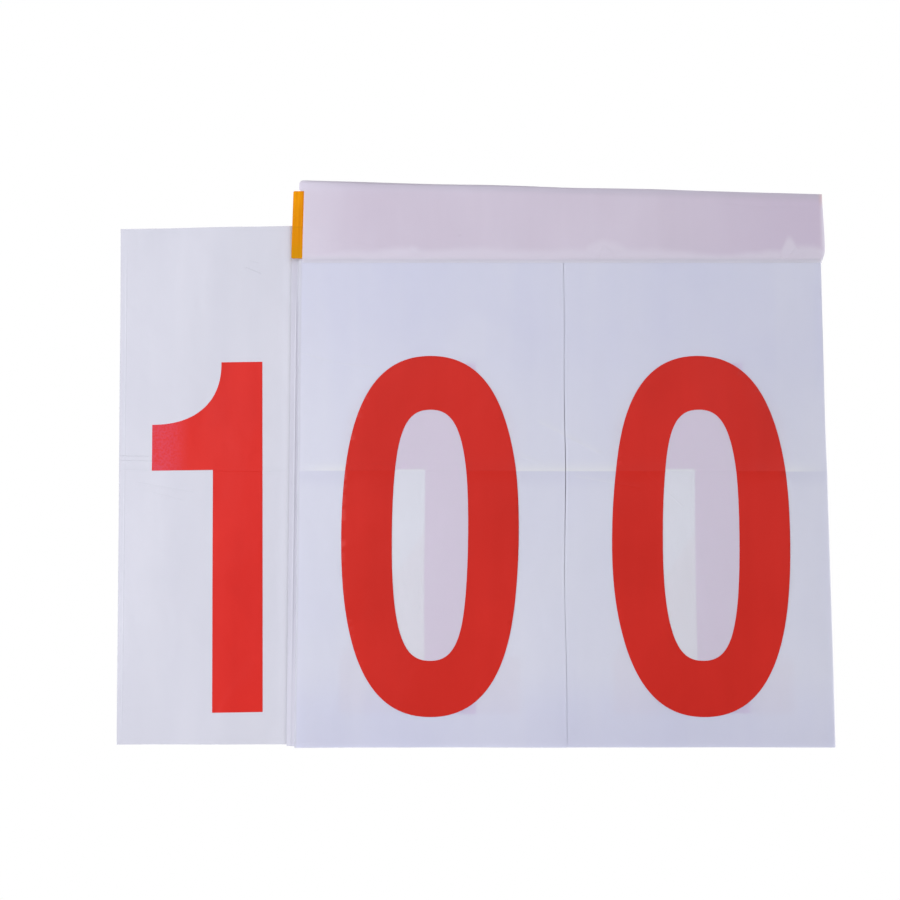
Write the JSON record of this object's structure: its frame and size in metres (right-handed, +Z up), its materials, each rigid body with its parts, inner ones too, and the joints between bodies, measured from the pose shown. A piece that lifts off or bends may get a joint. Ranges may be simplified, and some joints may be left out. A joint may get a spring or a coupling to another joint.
{
  "type": "flip scoreboard",
  "caption": "Hanging flip scoreboard of translucent plastic film with large numerals: two columns of turning sheets under a stiffened head, and a fold-away hundreds flap.",
  "frame": {"origin": "centre of the head's flat back face, midway along the two columns", "axes": "+X to the reader's right, +Y backward out of the head's back, +Z up; the numerals face -Y"},
  "size_m": [0.5374, 0.0072, 0.4266],
  "materials": {
    "film": "translucent milky soft film",
    "sleeve_film": "translucent milky soft film, folded over the strip",
    "ink": "flat red print",
    "strip": "smooth stiff orange sheet",
    "staple": "plated wire"
  },
  "bodies": {
    "head": {"header_bar": "strip", "header_sleeve": "sleeve_film", "back_sheet": "film", "tens_heads": "film", "units_heads": "film", "binding_staples": "staple"},
    "hundreds": {"hundreds_flap": "film", "hundreds_numeral": "ink"},
    "tens_leaf_9": {"tens_sheet_9": "film", "tens_numeral_9": "ink"},
    "tens_leaf_8": {"tens_sheet_8": "film", "tens_numeral_8": "ink"},
    "tens_leaf_7": {"tens_sheet_7": "film", "tens_numeral_7": "ink"},
    "tens_leaf_6": {"tens_sheet_6": "film", "tens_numeral_6": "ink"},
    "tens_leaf_5": {"tens_sheet_5": "film", "tens_numeral_5": "ink"},
    "tens_leaf_4": {"tens_sheet_4": "film", "tens_numeral_4": "ink"},
    "tens_leaf_3": {"tens_sheet_3": "film", "tens_numeral_3": "ink"},
    "tens_leaf_2": {"tens_sheet_2": "film", "tens_numeral_2": "ink"},
    "tens_leaf_1": {"tens_sheet_1": "film", "tens_numeral_1": "ink"},
    "tens_leaf_0": {"tens_sheet_0": "film", "tens_numeral_0": "ink"},
    "units_leaf_9": {"units_sheet_9": "film", "units_numeral_9": "ink"},
    "units_leaf_8": {"units_sheet_8": "film", "units_numeral_8": "ink"},
    "units_leaf_7": {"units_sheet_7": "film", "units_numeral_7": "ink"},
    "units_leaf_6": {"units_sheet_6": "film", "units_numeral_6": "ink"},
    "units_leaf_5": {"units_sheet_5": "film", "units_numeral_5": "ink"},
    "units_leaf_4": {"units_sheet_4": "film", "units_numeral_4": "ink"},
    "units_leaf_3": {"units_sheet_3": "film", "units_numeral_3": "ink"},
    "units_leaf_2": {"units_sheet_2": "film", "units_numeral_2": "ink"},
    "units_leaf_1": {"units_sheet_1": "film", "units_numeral_1": "ink"},
    "units_leaf_0": {"units_sheet_0": "film", "units_numeral_0": "ink"}
  },
  "joints": [
    {"name": "hundreds_fold", "type": "hinge", "parent": "head", "child": "hundreds", "pos_m": [-0.20685, -0.0002, -0.196], "axis": [0, 0, -1], "range_deg": [0, 179.99]},
    {"name": "tens_turn_9", "type": "hinge", "parent": "head", "child": "tens_leaf_9", "pos_m": [-0.09892, -0.00746, -0.0293], "axis": [-1, 0, 0], "range_deg": [0, 179.99]},
    {"name": "tens_turn_8", "type": "hinge", "parent": "tens_leaf_9", "child": "tens_leaf_8", "pos_m": [-0.09892, -0.00746, -0.0293], "axis": [-1, 0, 0], "range_deg": [0, 179.99]},
    {"name": "tens_turn_7", "type": "hinge", "parent": "tens_leaf_8", "child": "tens_leaf_7", "pos_m": [-0.09892, -0.00746, -0.0293], "axis": [-1, 0, 0], "range_deg": [0, 179.99]},
    {"name": "tens_turn_6", "type": "hinge", "parent": "tens_leaf_7", "child": "tens_leaf_6", "pos_m": [-0.09892, -0.00746, -0.0293], "axis": [-1, 0, 0], "range_deg": [0, 179.99]},
    {"name": "tens_turn_5", "type": "hinge", "parent": "tens_leaf_6", "child": "tens_leaf_5", "pos_m": [-0.09892, -0.00746, -0.0293], "axis": [-1, 0, 0], "range_deg": [0, 179.99]},
    {"name": "tens_turn_4", "type": "hinge", "parent": "tens_leaf_5", "child": "tens_leaf_4", "pos_m": [-0.09892, -0.00746, -0.0293], "axis": [-1, 0, 0], "range_deg": [0, 179.99]},
    {"name": "tens_turn_3", "type": "hinge", "parent": "tens_leaf_4", "child": "tens_leaf_3", "pos_m": [-0.09892, -0.00746, -0.0293], "axis": [-1, 0, 0], "range_deg": [0, 179.99]},
    {"name": "tens_turn_2", "type": "hinge", "parent": "tens_leaf_3", "child": "tens_leaf_2", "pos_m": [-0.09892, -0.00746, -0.0293], "axis": [-1, 0, 0], "range_deg": [0, 179.99]},
    {"name": "tens_turn_1", "type": "hinge", "parent": "tens_leaf_2", "child": "tens_leaf_1", "pos_m": [-0.09892, -0.00746, -0.0293], "axis": [-1, 0, 0], "range_deg": [0, 179.99]},
    {"name": "tens_turn_0", "type": "hinge", "parent": "tens_leaf_1", "child": "tens_leaf_0", "pos_m": [-0.09892, -0.00746, -0.0293], "axis": [-1, 0, 0], "range_deg": [0, 179.99]},
    {"name": "units_turn_9", "type": "hinge", "parent": "head", "child": "units_leaf_9", "pos_m": [0.10043, -0.00746, -0.0293], "axis": [-1, 0, 0], "range_deg": [0, 179.99]},
    {"name": "units_turn_8", "type": "hinge", "parent": "units_leaf_9", "child": "units_leaf_8", "pos_m": [0.10043, -0.00746, -0.0293], "axis": [-1, 0, 0], "range_deg": [0, 179.99]},
    {"name": "units_turn_7", "type": "hinge", "parent": "units_leaf_8", "child": "units_leaf_7", "pos_m": [0.10043, -0.00746, -0.0293], "axis": [-1, 0, 0], "range_deg": [0, 179.99]},
    {"name": "units_turn_6", "type": "hinge", "parent": "units_leaf_7", "child": "units_leaf_6", "pos_m": [0.10043, -0.00746, -0.0293], "axis": [-1, 0, 0], "range_deg": [0, 179.99]},
    {"name": "units_turn_5", "type": "hinge", "parent": "units_leaf_6", "child": "units_leaf_5", "pos_m": [0.10043, -0.00746, -0.0293], "axis": [-1, 0, 0], "range_deg": [0, 179.99]},
    {"name": "units_turn_4", "type": "hinge", "parent": "units_leaf_5", "child": "units_leaf_4", "pos_m": [0.10043, -0.00746, -0.0293], "axis": [-1, 0, 0], "range_deg": [0, 179.99]},
    {"name": "units_turn_3", "type": "hinge", "parent": "units_leaf_4", "child": "units_leaf_3", "pos_m": [0.10043, -0.00746, -0.0293], "axis": [-1, 0, 0], "range_deg": [0, 179.99]},
    {"name": "units_turn_2", "type": "hinge", "parent": "units_leaf_3", "child": "units_leaf_2", "pos_m": [0.10043, -0.00746, -0.0293], "axis": [-1, 0, 0], "range_deg": [0, 179.99]},
    {"name": "units_turn_1", "type": "hinge", "parent": "units_leaf_2", "child": "units_leaf_1", "pos_m": [0.10043, -0.00746, -0.0293], "axis": [-1, 0, 0], "range_deg": [0, 179.99]},
    {"name": "units_turn_0", "type": "hinge", "parent": "units_leaf_1", "child": "units_leaf_0", "pos_m": [0.10043, -0.00746, -0.0293], "axis": [-1, 0, 0], "range_deg": [0, 179.99]}
  ]
}
